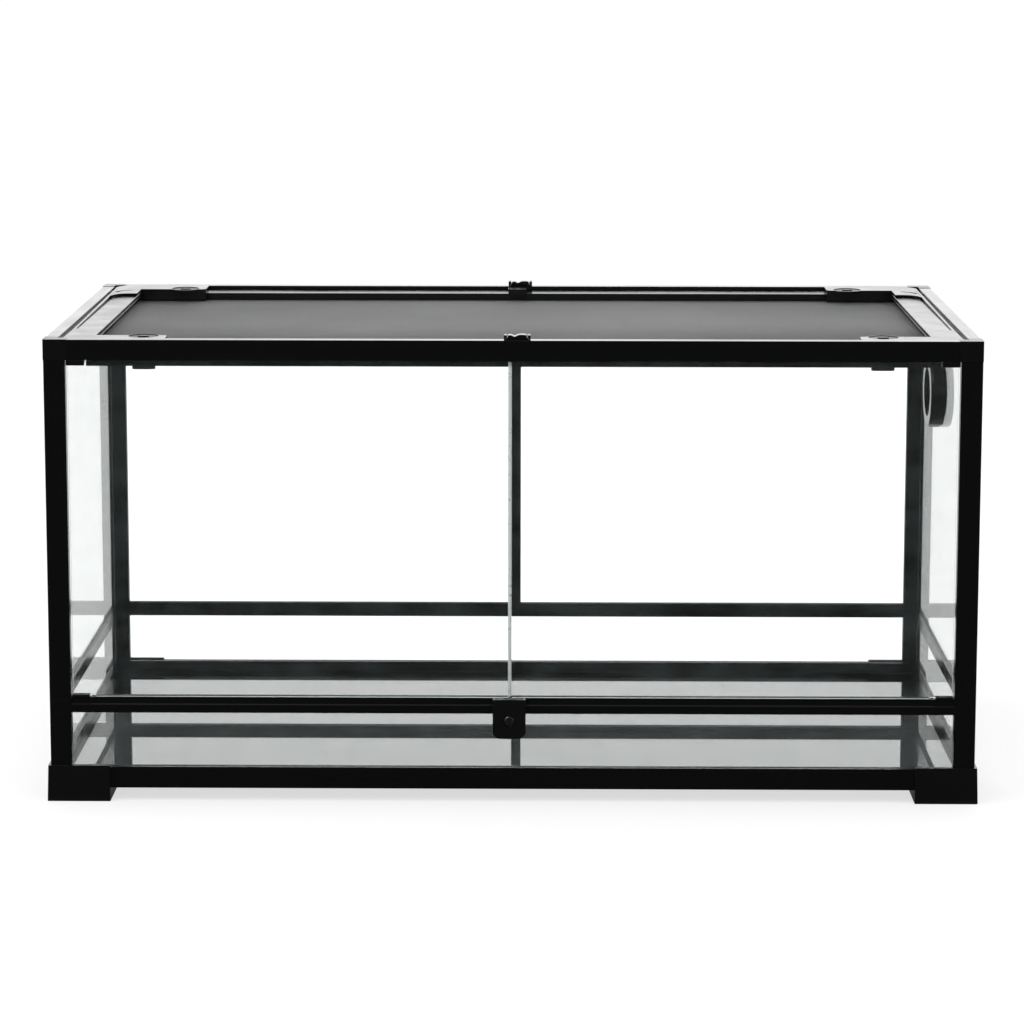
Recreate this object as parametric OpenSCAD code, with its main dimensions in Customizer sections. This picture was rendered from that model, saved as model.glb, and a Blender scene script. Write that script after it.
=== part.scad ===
// Reptile terrarium with two hinged front doors, a lift-off screen cover and a raised glass floor.
// Origin: middle of the footprint on the ground. +X right, +Y to the rear, +Z up, millimetres.

/* [Overall] */
// Width over the corner posts
tank_w = 915; // [700:5:1200]
// Depth over the corner posts
tank_d = 457; // [420:1:600]
// Height from the ground to the top of the rails
tank_h = 461.5; // [400:0.5:600]

/* [Frame] */
// Length of each leg of an angled corner post
post_leg = 21.5; // [18:0.5:26]
// Thickness of the posts and of the plain rails
post_t = 10; // [9.5:0.5:12]
// Height of the bottom rails
bottom_h = 21.5; // [18:0.5:28]
// Height of the ground clearance under the bottom rails
raise_h = 13; // [10:0.5:18]
// Height of the floor's ledge above the underside of the bottom rails
floor_up = 1; // [0:0.5:4]
// Height at which lower and upper posts meet
joint_z = 102; // [90:1:130]
// Height of the middle rails
mid_h = 15; // [14:0.5:20]
// Height of the front face of the door sill
sill_h = 11; // [10:0.5:14]
// Height of the top rails
top_h = 20; // [18:0.5:24]
// Width of the top face of the top rails
top_t = 12.6; // [12:0.1:16]
// Leg length of the top corner blocks
block_leg = 22.5; // [20:0.5:30]
// Reach of the cover ledge from the outer face of the rails
ledge_reach = 34; // [31:0.5:36]
// Depth of the cover ledge below the top of the rails
ledge_drop = 15; // [14.5:0.5:16]
// Width of the bar between the two rear panes
mullion_w = 10.6; // [9:0.1:14]
// Radius of the rounded outer corners
corner_r = 1.5; // [0.5:0.1:3]

/* [Feet] */
// Length of each side of a foot
foot_l = 61.4; // [50:0.2:80]
// Height of a foot
foot_h = 36; // [30:0.5:40]
// Wall of a foot, which stands outside the posts
foot_wall = 2.4; // [1.5:0.1:4]
// Flare of the foot at the ground
foot_flare = 1; // [0:0.1:2]

/* [Glass] */
// Thickness of the fixed panes
pane_t = 4; // [3:0.5:4.5]
// Thickness of the doors and of the floor
door_t = 5; // [4:0.5:5.5]
// Depth of the pane grooves
groove_d = 5; // [3:0.5:6]
// Distance from the outer face to a pane groove
groove_in = 3; // [2.5:0.1:3.5]
// Clearance of a pane in its groove, each side
pane_gap = 0.2; // [0.05:0.05:0.3]

/* [Doors] */
// Offset of the seam between the doors
seam_x = -1.8; // [-4:0.1:2]
// Gap between the two doors
seam_gap = 3.2; // [2.6:0.1:5]
// Distance from the front face to the door glass
door_in = 1.5; // [1.2:0.1:2]
// Distance from a post to the pivot axis
pivot_in = 6.3; // [6:0.1:8]
// Diameter of the pivot pins
pivot_d = 4; // [3:0.1:4.5]
// Height of the upper pivot shoes, which hide behind the rail's lower edge
shoe_h = 5.3; // [4:0.1:8]
// Height of the lower pivot shoes, which stay close to the sill
low_shoe_h = 2.4; // [1.8:0.1:3]
// Length of a pivot shoe beyond its axis
shoe_l = 12; // [8:0.5:20]
// Thickness of the seal on the left door's edge
seal_t = 1.2; // [0.8:0.1:1.5]
// Grip of the seal round that edge
seal_lip = 0.8; // [0.6:0.1:3]
// Thickness of a pivot shoe's cheeks
cheek_t = 1.5; // [1.2:0.1:2]
// Reach of the door stop below the top rail
stop_h = 6.5; // [4:0.5:8]
// Thickness of the door stop
stop_t = 2.8; // [2:0.1:3.2]
// Opening angle at which the doors are drawn
door_angle = 0; // [0:5:100]

/* [Lock] */
// Offset of the lock, which covers the seam
lock_x = -3; // [-4:0.5:2]
// Width of the lock housing
lock_w = 32.5; // [30:0.5:40]
// Height of the lock housing
lock_h = 39.5; // [38:0.5:46]
// Depth of the lock housing in front of the sill
lock_d = 7; // [7:0.1:9]
// Diameter of the key cylinder
key_d = 10; // [9:0.5:11]
// Travel of the lock's latch
latch_travel = 6; // [4:0.5:7]
// Radius of the lower corners of the housing
lock_r = 8; // [3:0.5:10]

/* [Screen cover] */
// Height of the front and rear cover bars
bar_h = 11.5; // [10:0.5:12.5]
// Width of the cover bars
bar_w = 23.1; // [21:0.1:23.5]
// Thickness of the screen
mesh_t = 0.8; // [0.5:0.1:1]
// Openings of the screen from left to right
mesh_columns = 12; // [6:1:12]
// Openings of the screen from front to rear
mesh_rows = 6; // [3:1:8]
// Width of the bars between the openings
mesh_bar = 4; // [2:0.5:10]
// Width of the low side track of a cover end
track_w = 23; // [20:0.5:30]
// Width of the outer rim of a cover end
rim_w = 3; // [2.5:0.1:4]
// Length of the arms of a cover end, from the side of the tank
arm_l = 116.5; // [112:0.5:150]
// Depth of the front arms, from the front of the tank
front_arm_d = 46; // [45:0.5:52]
// Depth of the rear arms, from the rear of the tank
rear_arm_d = 48; // [45:0.5:52]
// Height of the front arms below the rail tops
front_arm_drop = 1.5; // [0.5:0.1:2]
// Running clearance of the cover inside the rails
cover_gap = 0.3; // [0.2:0.05:0.5]

/* [Knobs] */
// Distance from the side of the tank to a knob's axis
knob_x = 93.5; // [90:0.5:95]
// Distance from the front or rear of the tank to a knob's axis
knob_y = 41; // [40.5:0.1:41]
// Diameter of a knob
knob_d = 29; // [24:0.5:32]
// Thickness of a knob's disc
knob_t = 2.2; // [1.5:0.1:3]
// Diameter of a knob's shaft
shaft_d = 8; // [6:0.5:8.5]
// Length of a cam
cam_l = 23; // [20:0.5:24]
// Width of a cam
cam_w = 9; // [8:0.5:10]
// Height of a cam
cam_h = 12.2; // [8:0.2:16]

/* [Screen latches] */
// Offset of the two sliding latches
latch_x = 4.5; // [-20:0.5:20]
// Offset of the keepers on the cover
keeper_x = 1.5; // [-20:0.5:20]
// Width of a latch base
latch_w = 26; // [22:0.5:34]
// Width of a keeper
keeper_w = 20; // [12:0.5:24]
// Height of a latch above the rail
latch_h = 5.2; // [4:0.1:7]

/* [Cable gates] */
// Length of a sliding cable gate
gate_l = 46; // [36:1:60]
// Radius of the finger groove in a gate
grip_r = 64; // [50:1:90]
// Width of the finger groove
grip_w = 3; // [2:0.5:4]
// Length of the cable hole under a gate
hole_l = 20; // [12:1:24]
// Width of the cable hole
hole_w = 13; // [8:0.5:14]

/* [Port] */
// Distance from the front of the tank to the port's centre
port_y = 290; // [120:1:330]
// Distance from the top of the rails down to the port's centre
port_drop = 93; // [80:0.5:200]
// Outer diameter of the port's flanges
port_d = 76; // [70:1:90]
// Diameter of the hole in the glass
port_hole = 60; // [50:1:64]
// Thickness of the inner flange
port_in = 12; // [8:0.5:14]
// Thickness of the outer nut
port_out = 3.2; // [3:0.1:5]

/* [Hidden] */
$fn = 48;

left = -1;
right = 1;
front = -1;
rear = 1;
eps = 0.01;
face_gap = 0.2;       // clearance between faces that slide past each other
bore_gap = 0.05;      // radial clearance of a pin or shaft in its bore
fit = 0.1;            // clearance of a peg in its socket, each side
peg_l = 12;           // length of the pegs that join the frame's pieces
socket_in = 2;        // distance from a post's outer faces to its socket
socket_w = post_t - 4;
proud = 0.3;          // step of the corner blocks above the rails and posts

black = [0.06, 0.06, 0.065];
soft_black = [0.10, 0.10, 0.105];
clear = [0.80, 0.90, 0.88, 0.35];
grey_mesh = [0.42, 0.42, 0.43];

// Heights
bottom_z = raise_h + bottom_h;          // top of the bottom rails
mid_z = joint_z - mid_h;                // underside of the middle rails
sill_z = mid_z + 2.5;                   // underside of the door sill
sill_step = sill_z + sill_h - 2;        // top of the sill's front face
door_z = sill_step + 6.9;               // lower edge of the doors
track_top = door_z - 0.4;               // top of the sill under the doors
lip_z = door_z + 0.8;                   // top of the stop behind the doors
rail_z = tank_h - top_h;                // underside of the top rails
ledge_z = tank_h - ledge_drop;          // face that the cover rests on
hollow_y0 = 2.2;                        // hollow of the top rails
hollow_y1 = top_t - 1.5;
hollow_z0 = rail_z + 8;
hollow_z1 = tank_h - 2.5;
floor_ledge = 18;                       // reach of the strip under the glass floor
floor_ledge_t = 4.5;                    // thickness of that strip
floor_z = raise_h + floor_up + floor_ledge_t;  // underside of the glass floor

// Door planes
groove_w = pane_t + 2 * pane_gap;
door_back = door_in + door_t;
door_mid = door_in + door_t / 2;
stop_y = door_back + 0.7;
pivot_x = tank_w / 2 - post_leg - pivot_in;
shoe_r = pivot_in - 0.3;
shoe_base = 1.2;                        // thickness of a shoe under the glass
notch_l = pivot_in + shoe_l + 1.5;

// Cover planes
bar_y = top_t + cover_gap;              // outer face of the cover bars
bar_in = bar_y + bar_w;                 // inner face of the cover bars
bar_z = ledge_z + bar_h;                // top of the cover bars
mesh_z = ledge_z + 1.4;                 // underside of the screen
mesh_top = mesh_z + mesh_t;
mesh_tuck = 8;                          // width of the screen held in each cover bar
rim_x = tank_w / 2 - top_t - cover_gap; // outer face of a cover end
track_x = rim_x - rim_w;                // outer edge of the side track
edge_x = track_x - track_w;             // inner edge of a cover end
track_z = mesh_top + 2.3;               // top of the side track
rim_z = bar_z - 1;
front_arm_z = tank_h - front_arm_drop;
rear_arm_z = tank_h + 0.3;
seat_t = 3;                             // thickness of a knob's seat on an arm
cam_z = ledge_z - 6.8;                  // top of the cams
rib_z = ledge_z - 5.3;                  // underside of the ledge's stiffening rib

// Cable gates
gate_travel = hole_l + 10;
gate_y = tank_d - rear_arm_d - face_gap;   // rear face of a gate, from the front of the tank
hole_y = gate_y - 5 - hole_l;              // front edge of the cable hole
hole_x = track_x - 3;                      // outer edge of the cable hole

// Port
port_z = tank_h - port_drop;            // height of the port's centre
port_bore = port_hole - 8;              // bore of the flange, which the plug fits
port_edge = 3;                          // height of the flange's slanted edge

// Lock
lock_z = door_z - 0.2;                  // top of the lock
key_z = lock_z - 21.8;                  // height of the key cylinder
crank = latch_travel / 2 / sin(45);     // radius of the crank pin that lifts the latch

// ---------------------------------------------------------------- placing

// Puts a child whose outer corner is at 0,0 and whose legs run along +X and +Y into a corner.
module at_corner(side, end) {
    translate([side * tank_w / 2, end * tank_d / 2, 0])
        mirror([side == right ? 1 : 0, 0, 0])
            mirror([0, end == rear ? 1 : 0, 0])
                children();
}

// Walls: local X runs along the wall and local Y inwards from its outer face.
module at_front() {
    translate([0, -tank_d / 2, 0]) children();
}

module at_rear() {
    mirror([0, 1, 0]) at_front() children();
}

module at_left() {
    translate([-tank_w / 2, 0, 0]) rotate([0, 0, -90]) children();
}

module at_side(side) {
    mirror([side == right ? 1 : 0, 0, 0]) at_left() children();
}

module at_end(end) {
    mirror([0, end == rear ? 1 : 0, 0]) at_front() children();
}

// Extrudes a Y-Z profile along X, centred.
module run(length) {
    translate([-length / 2, 0, 0]) rotate([90, 0, 90]) linear_extrude(length) children();
}

// A box from one corner to the opposite one.
module box(low, high) {
    translate(low) cube(high - low);
}

// A rectangle from 0,0 whose corner at 0,0 is rounded.
module round_leg(a, b, r) {
    translate([r, 0]) square([a - r, b]);
    translate([0, r]) square([a, b - r]);
    translate([r, r]) circle(r);
}

// ---------------------------------------------------------------- feet and posts

module foot(side, end) {
    color(black) at_corner(side, end) difference() {
        hull() {
            translate([-foot_wall - foot_flare, -foot_wall - foot_flare, 0])
                linear_extrude(1) round_leg(foot_l + foot_flare, foot_l + foot_flare, corner_r);
            translate([-foot_wall, -foot_wall, foot_h - 1])
                linear_extrude(1) round_leg(foot_l, foot_l, corner_r);
        }
        // seat for the post and the two rails
        box([0, 0, raise_h], [foot_l, foot_l, foot_h + eps]);
        // hollow underside with two stiffening ribs left standing
        for (x = [0, 1], y = [0, 1])
            translate([2 + x * 28, 2 + y * 28, -eps]) cube([26, 26, raise_h - 4]);
    }
}

// Angled post with a pane groove in the end of either leg.
module post(side, end, z0, z1, groove_x, groove_y) {
    color(black) at_corner(side, end) difference() {
        translate([0, 0, z0]) linear_extrude(z1 - z0) difference() {
            union() {
                round_leg(post_leg, post_t, corner_r);
                round_leg(post_t, post_leg, corner_r);
            }
            if (groove_x)
                translate([post_leg - groove_d, groove_in]) square([groove_d + eps, groove_w]);
            if (groove_y)
                translate([groove_in, post_leg - groove_d]) square([groove_w, groove_d + eps]);
        }
        // socket for the piece above
        box([socket_in, socket_in, z1 - peg_l - 2], [socket_in + socket_w, socket_in + socket_w, z1 + eps]);
    }
}

// Square peg that a post or a corner block sends down into the post below it.
module peg(side, end, z) {
    low = socket_in + fit;
    high = socket_in + socket_w - fit;
    color(black) at_corner(side, end) box([low, low, z - peg_l], [high, high, z + eps]);
}

module lower_post(side, end) {
    post(side, end, raise_h, joint_z, true, true);
}

module upper_post(side, end) {
    post(side, end, joint_z, rail_z, end == rear, true);
    peg(side, end, joint_z);
}

module top_corner_blocks() {
    color(black) for (side = [left, right], end = [front, rear]) {
        peg(side, end, rail_z);
        at_corner(side, end) {
            difference() {
                translate([-proud, -proud, rail_z]) linear_extrude(top_h + proud) {
                    round_leg(block_leg + proud, top_t + proud - bore_gap, corner_r);
                    round_leg(top_t + proud - bore_gap, block_leg + proud, corner_r);
                }
                // grooves for the corners of the side and rear panes
                box([groove_in, post_leg - groove_d, rail_z - eps],
                    [groove_in + groove_w, block_leg + eps, rail_z + groove_d]);
                if (end == rear)
                    box([post_leg - groove_d, groove_in, rail_z - eps],
                        [block_leg + eps, groove_in + groove_w, rail_z + groove_d]);
            }
            // spigots into the two hollow rails
            box([block_leg - eps, hollow_y0 + fit, hollow_z0 + fit],
                [block_leg + peg_l, hollow_y1 - fit, hollow_z1 - fit]);
            box([hollow_y0 + fit, block_leg - eps, hollow_z0 + fit],
                [hollow_y1 - fit, block_leg + peg_l, hollow_z1 - fit]);
        }
    }
}

// ---------------------------------------------------------------- rails

module pane_groove(z, up) {
    translate([groove_in, up ? z - groove_d : z - eps]) square([groove_w, groove_d + eps]);
}

// Rail with a glued strip that carries the edge of the floor.
module bottom_rail(length) {
    color(black) run(length) {
        difference() {
            translate([0, raise_h]) square([post_t, bottom_h]);
            pane_groove(bottom_z, true);
        }
        translate([post_t + fit, floor_z - floor_ledge_t])
            square([floor_ledge - post_t - fit, floor_ledge_t]);
    }
}

module mid_rail(length) {
    color(black) run(length) difference() {
        polygon([[0.6, mid_z], [post_t, mid_z], [post_t, joint_z - 1.6], [post_t - 1.6, joint_z],
            [0.6, joint_z], [0, joint_z - 0.6], [0, mid_z + 0.6]]);
        pane_groove(joint_z, true);
        pane_groove(mid_z, false);
    }
}

module door_sill() {
    length = tank_w - 2 * post_leg;
    color(black) at_front() difference() {
        run(length) difference() {
            polygon([[0, sill_z], [post_t, sill_z], [post_t, lip_z], [stop_y, lip_z], [stop_y, track_top],
                [1.2, track_top], [1.2, sill_step], [0, sill_step - 1]]);
            pane_groove(sill_z, false);
        }
        for (side = [left, right]) {
            // the stop is cut back beside the pivots
            translate([side * (length / 2 - notch_l / 2 + eps), (stop_y + post_t) / 2, lip_z])
                cube([notch_l + eps, post_t - stop_y + 1, 2 * (lip_z - track_top)], center = true);
            translate([side * pivot_x, door_mid, track_top - 5.4])
                cylinder(d = pivot_d + 2 * bore_gap, h = 5.4 + eps);
        }
    }
}

// Hollow top rail with the ledge that carries the screen cover.
module top_rail(length, groove) {
    run(length - 2 * block_leg) difference() {
        polygon([[0, rail_z], [top_t, rail_z], [top_t, tank_h - 0.5], [top_t - 0.5, tank_h],
            [0.5, tank_h], [0, tank_h - 0.5]]);
        translate([hollow_y0, hollow_z0]) square([hollow_y1 - hollow_y0, hollow_z1 - hollow_z0]);
        if (groove) pane_groove(rail_z, false);
    }
    // mitred ledge and its rib
    for (part = [[top_t - eps, ledge_z - 3, ledge_z], [ledge_reach - 3, rib_z, ledge_z - 3 + eps]])
        translate([0, 0, part[1]]) linear_extrude(part[2] - part[1])
            polygon([[-length / 2 + part[0], part[0]], [length / 2 - part[0], part[0]],
                [length / 2 - ledge_reach, ledge_reach], [-length / 2 + ledge_reach, ledge_reach]]);
}

module top_rail_front() {
    color(black) at_front() difference() {
        union() {
            top_rail(tank_w, false);
            run(tank_w - 2 * (post_leg + notch_l))
                translate([stop_y, rail_z - stop_h]) square([stop_t, stop_h + eps]);
        }
        for (side = [left, right]) translate([side * pivot_x, door_mid, rail_z - eps])
            cylinder(d = pivot_d + 2 * bore_gap, h = 5.4);
    }
}

module top_rail_rear() {
    color(black) at_rear() top_rail(tank_w, true);
}

module top_rail_side(side) {
    color(black) difference() {
        at_side(side) top_rail(tank_d, true);
        // the ledge is cut back towards the rear corner, to let cables pass
        translate([0, -tank_d / 2, 0]) mirror([side == left ? 1 : 0, 0, 0])
            box([tank_w / 2 - ledge_reach - 1, hole_y, rib_z - 1], [hole_x, tank_d, ledge_z + 1]);
    }
}

module rear_mullion() {
    color(black) at_rear() translate([0, 0, joint_z]) linear_extrude(rail_z - joint_z) difference() {
        translate([-mullion_w / 2, 0]) square([mullion_w, post_t]);
        for (side = [left, right])
            translate([side * (mullion_w / 2 - (mullion_groove - eps) / 2), groove_in + groove_w / 2])
                square([mullion_groove + eps, groove_w], center = true);
    }
}

// ---------------------------------------------------------------- glass

// A pane in the plane of a wall, between two X positions.
module pane(x0, x1, z0, z1) {
    color(clear) box([x0, groove_in + pane_gap, z0], [x1, groove_in + pane_gap + pane_t, z1]);
}

in_groove = groove_d - 0.3;
mullion_groove = 3.5;
half_w = tank_w / 2 - post_leg + in_groove;
half_d = tank_d / 2 - post_leg + in_groove;
mullion_edge = mullion_w / 2 - mullion_groove + 0.3;

module floor_glass() {
    inset = post_t + 0.3;
    color(clear) translate([0, 0, floor_z + door_t / 2])
        cube([tank_w - 2 * inset, tank_d - 2 * inset, door_t], center = true);
}

module lower_glass_front() {
    at_front() pane(-half_w, half_w, bottom_z - in_groove, sill_z + in_groove);
}

module lower_glass_rear() {
    at_rear() pane(-half_w, half_w, bottom_z - in_groove, mid_z + in_groove);
}

module lower_glass_side(side) {
    at_side(side) pane(-half_d, half_d, bottom_z - in_groove, mid_z + in_groove);
}

module side_glass(side) {
    difference() {
        at_side(side) pane(-half_d, half_d, joint_z - in_groove, rail_z + in_groove);
        if (side == right) port_place() cylinder(d = port_hole, h = 3 * pane_t, center = true);
    }
}

module rear_glass_panes() {
    at_rear() for (side = [left, right])
        pane(side * (side == left ? half_w : mullion_edge), side * (side == left ? mullion_edge : half_w),
            joint_z - in_groove, rail_z + in_groove);
}

// ---------------------------------------------------------------- doors

module door_turn(side) {
    at_front() translate([side * pivot_x, door_mid, 0]) rotate([0, 0, side * door_angle])
        translate([-side * pivot_x, -door_mid, 0]) children();
}

module door_glass(side) {
    edge = seam_x + side * seam_gap / 2;
    outer = side * (pivot_x + shoe_r - 1.7);
    color(clear) door_turn(side) difference() {
        box([min(edge, outer), door_in, door_z], [max(edge, outer), door_back, rail_z - face_gap]);
        // corners cut back for the pivot shoes
        for (z = [door_z, rail_z - face_gap])
            translate([side * (pivot_x + shoe_r - shoe_l), door_mid, z])
                cube([2 * shoe_l + 0.4 + eps, 2 * door_t, 2 * shoe_base], center = true);
    }
}

// The upper and the lower shoe of one door, each with its pin.
module door_pivots(side) {
    color(soft_black) door_turn(side) for (upper = [false, true])
        translate([side * pivot_x, door_mid, upper ? rail_z - face_gap / 2 : door_z - 0.1])
            mirror([side == right ? 1 : 0, 0, 0]) mirror([0, 0, upper ? 1 : 0])
                pivot_shoe(upper ? shoe_h : low_shoe_h);
}

module pivot_shoe(height) {
    shoe_t = door_t + 2 * cheek_t;
    difference() {
        linear_extrude(height) {
            intersection() {
                circle(shoe_r);
                square([2 * shoe_r, shoe_t], center = true);
            }
            translate([0, -shoe_t / 2]) square([shoe_l, shoe_t]);
        }
        translate([-shoe_r + 1.5, -door_t / 2 - bore_gap, shoe_base])
            cube([2 * shoe_l, door_t + 2 * bore_gap, height]);
    }
    translate([0, 0, -5]) cylinder(d = pivot_d, h = 5 + eps);
}

// Soft strip on the closing edge of the left door, with a fin towards the right door.
module door_seal() {
    z0 = door_z + 1;
    z1 = rail_z - 1.5;
    edge = seam_x - seam_gap / 2;
    seal_skin = 0.4;           // thickness of the seal beside the glass
    color([0.85, 0.87, 0.86, 0.6]) door_turn(left) difference() {
        union() {
            box([edge - seal_lip, door_in - seal_skin, z0], [edge + seal_t, door_back + seal_skin, z1]);
            box([edge + seal_t - eps, door_mid - seal_skin, z0],
                [edge + seam_gap - 0.6, door_mid + seal_skin, z1]);
        }
        box([edge - seal_lip - 1, door_in - bore_gap, z0 - 1],
            [edge + bore_gap, door_back + bore_gap, z1 + 1]);
    }
}

// ---------------------------------------------------------------- lock

latch_wide = lock_w - 6.6;
flange_y = -lock_d + 1.7;      // front face of the cylinder's flange

module lock_place() {
    at_front() translate([lock_x, 0, 0]) children();
}

module lock_housing() {
    color(soft_black) lock_place() difference() {
        translate([0, 0, lock_z - lock_h]) rotate([90, 0, 0]) linear_extrude(lock_d) {
            translate([-lock_w / 2, lock_r]) square([lock_w, lock_h - lock_r]);
            translate([-lock_w / 2 + lock_r, 0]) square([lock_w - 2 * lock_r, lock_h]);
            for (side = [left, right]) translate([side * (lock_w / 2 - lock_r), lock_r]) circle(lock_r);
        }
        // pocket for the latch, open at the top
        box([-latch_wide / 2 - face_gap, -lock_d + 1.6, key_z - 12],
            [latch_wide / 2 + face_gap, -1.1, lock_z + eps]);
        box([-latch_wide / 2 - face_gap, -lock_d + 1.6, sill_step - 1],
            [latch_wide / 2 + face_gap, eps, lock_z + eps]);
        translate([0, -lock_d + 2, key_z]) rotate([90, 0, 0])
            cylinder(d = key_d + 2 * bore_gap, h = 3);
        // bevel round the bore
        translate([0, -lock_d + 0.8, key_z]) rotate([90, 0, 0])
            cylinder(d1 = key_d, d2 = key_d + 2, h = 0.8 + eps);
    }
}

module lock_latch() {
    back = -1.4;
    head = door_in - 1;        // clears the door glass and its seal
    color(black) lock_place() difference() {
        union() {
            box([-latch_wide / 2, back - 2.3, key_z - 8], [latch_wide / 2, back, lock_z - 1.2]);
            // thick head that stands in front of the doors when it is raised
            box([-latch_wide / 2, -lock_d + 2, sill_step + 0.4], [latch_wide / 2, head, lock_z - 1.2]);
            box([-latch_wide / 2 + 1, -lock_d + 2, lock_z - 2], [-latch_wide / 2 + 8, head, lock_z]);
            box([-latch_wide / 2 + 11, -lock_d + 2, lock_z - 2], [latch_wide / 2 - 1, head, lock_z]);
        }
        // slot for the crank pin
        box([crank * cos(45) - 2, back - 3, key_z - crank * sin(45) - 1.75],
            [crank + 2, back + 1, key_z - crank * sin(45) + 1.75]);
    }
}

module lock_cylinder() {
    color([0.55, 0.56, 0.58]) lock_place() translate([0, 0, key_z]) {
        difference() {
            union() {
                translate([0, flange_y, 0]) rotate([90, 0, 0]) cylinder(d = key_d, h = lock_d + flange_y);
                translate([0, -lock_d + eps, 0]) rotate([90, 0, 0])
                    cylinder(d1 = key_d, d2 = key_d - 1.2, h = 0.6);
                translate([0, flange_y + 1.2, 0]) rotate([90, 0, 0]) cylinder(d = key_d + 4, h = 1.2);
            }
            translate([0, -lock_d - 0.6, 0]) cube([1.6, 4, 6], center = true);
        }
        translate([crank * cos(45), flange_y + 3.6, -crank * sin(45)])
            rotate([90, 0, 0]) cylinder(d = 3, h = 2.4 + eps);
    }
}

// ---------------------------------------------------------------- screen cover

module cover_bar(end) {
    length = 2 * track_x - 2 * face_gap;
    color(soft_black) at_end(end) {
        run(length) difference() {
            polygon([[bar_y, ledge_z], [bar_in, ledge_z], [bar_in, bar_z - 0.5], [bar_in - 0.5, bar_z],
                [bar_y + 0.5, bar_z], [bar_y, bar_z - 0.5]]);
            translate([bar_y + 1.5, ledge_z + 3.4]) square([bar_w - 3, bar_h - 4.9]);
            translate([bar_in - mesh_tuck - face_gap, mesh_z - 0.1])
                square([mesh_tuck + face_gap + eps, mesh_t + 0.2]);
        }
        // keeper block for the sliding latch
        translate([keeper_x - keeper_w / 2, 0, 0]) {
            box([0, bar_y + 2, bar_z - eps], [keeper_w, bar_in + 2.5, tank_h - 0.3]);
            box([0, bar_in - eps, bar_z - 3], [keeper_w, bar_in + 2.5, bar_z]);
        }
    }
}

// One arm: a cap over the bar, a body beside it and the seat of the knob.
module arm(depth, top, chamfer) {
    tip = -tank_w / 2 + arm_l;
    axis = -tank_w / 2 + knob_x;
    difference() {
        union() {
            translate([0, 0, bar_z]) linear_extrude(top - bar_z)
                polygon([[-rim_x + corner_r, bar_y], [tip - chamfer, bar_y], [tip, bar_y + chamfer],
                    [tip, depth - 3], [tip - 3, depth], [-rim_x, depth], [-rim_x, bar_y + corner_r]]);
            box([-track_x - eps, bar_in + 0.1, mesh_top], [tip, depth, bar_z + eps]);
            translate([axis, knob_y, top - seat_t]) cylinder(r = knob_d / 2 + 1.5, h = seat_t);
        }
        translate([axis, knob_y, mesh_top - 1]) cylinder(d = shaft_d + 2 * bore_gap, h = 40);
        // room for the cover bar under the seat's edge
        box([-rim_x - 1, bar_y - 1, bar_z - 10], [tip + 9, bar_in + 0.1, bar_z]);
    }
}

// The left cover end; the right one is its mirror image.
module cover_end_shape() {
    y0 = -tank_d / 2;
    difference() {
        union() {
            at_front() arm(front_arm_d, front_arm_z, 4);
            at_rear() arm(rear_arm_d, rear_arm_z, 0.5);
            // rim, low track and the small ridge along its inner edge
            box([-rim_x, y0 + bar_y, ledge_z], [-track_x, -y0 - bar_y, rim_z]);
            for (end = [front, rear]) at_end(end)
                box([-rim_x, bar_y, rim_z - eps],
                    [-track_x, end == front ? front_arm_d : rear_arm_d, bar_z + eps]);
            box([-track_x - eps, y0 + bar_in + 0.1, mesh_top], [-edge_x, -y0 - bar_in - 0.1, track_z]);
            box([-edge_x - 1.5, y0 + front_arm_d - eps, mesh_top],
                [-edge_x, -y0 - rear_arm_d + eps, track_z + 1.2]);
        }
        // guide groove for the cable gate
        box([-track_x - 1.2, y0 + gate_y - gate_l - gate_travel - 2, track_z + 0.2],
            [-track_x + eps, y0 + gate_y + face_gap, track_z + 2.2]);
        box([-hole_x, y0 + hole_y, mesh_top - 1], [-hole_x + hole_w, y0 + hole_y + hole_l, track_z + 1]);
    }
}

module cover_end(side) {
    color(soft_black) mirror([side == right ? 1 : 0, 0, 0]) cover_end_shape();
}

module cover_brace() {
    color(soft_black) at_front()
        box([latch_x - 6.5, bar_in, ledge_z - 4], [latch_x + 6.5, tank_d - bar_in, mesh_z]);
}

// Woven screen, drawn as a coarse grid. Its corners are whole under the arms that hold the knobs.
module screen_mesh() {
    length = 2 * (hole_x - hole_w - face_gap);
    depth = tank_d - 2 * (bar_in - mesh_tuck);
    open_x = 2 * edge_x - mesh_bar;
    open_y = tank_d - 2 * bar_in - mesh_bar;
    step_x = open_x / mesh_columns;
    step_y = open_y / mesh_rows;
    color(grey_mesh) translate([0, 0, mesh_z]) linear_extrude(mesh_t) difference() {
        square([length, depth], center = true);
        difference() {
            for (i = [0:mesh_columns - 1], j = [0:mesh_rows - 1])
                translate([(i + 0.5) * step_x - open_x / 2, (j + 0.5) * step_y - open_y / 2])
                    square([step_x - mesh_bar, step_y - mesh_bar], center = true);
            for (side = [left, right], end = [front, rear])
                translate([side * (tank_w / 2 - arm_l / 2), end * (tank_d / 2 - rear_arm_d / 2)])
                    square([arm_l, rear_arm_d], center = true);
        }
        for (side = [left, right], end = [front, rear])
            translate([side * (tank_w / 2 - knob_x), end * (tank_d / 2 - knob_y)]) circle(d = shaft_d + 1.5);
    }
}

// ---------------------------------------------------------------- knobs, latches and gates

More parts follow.
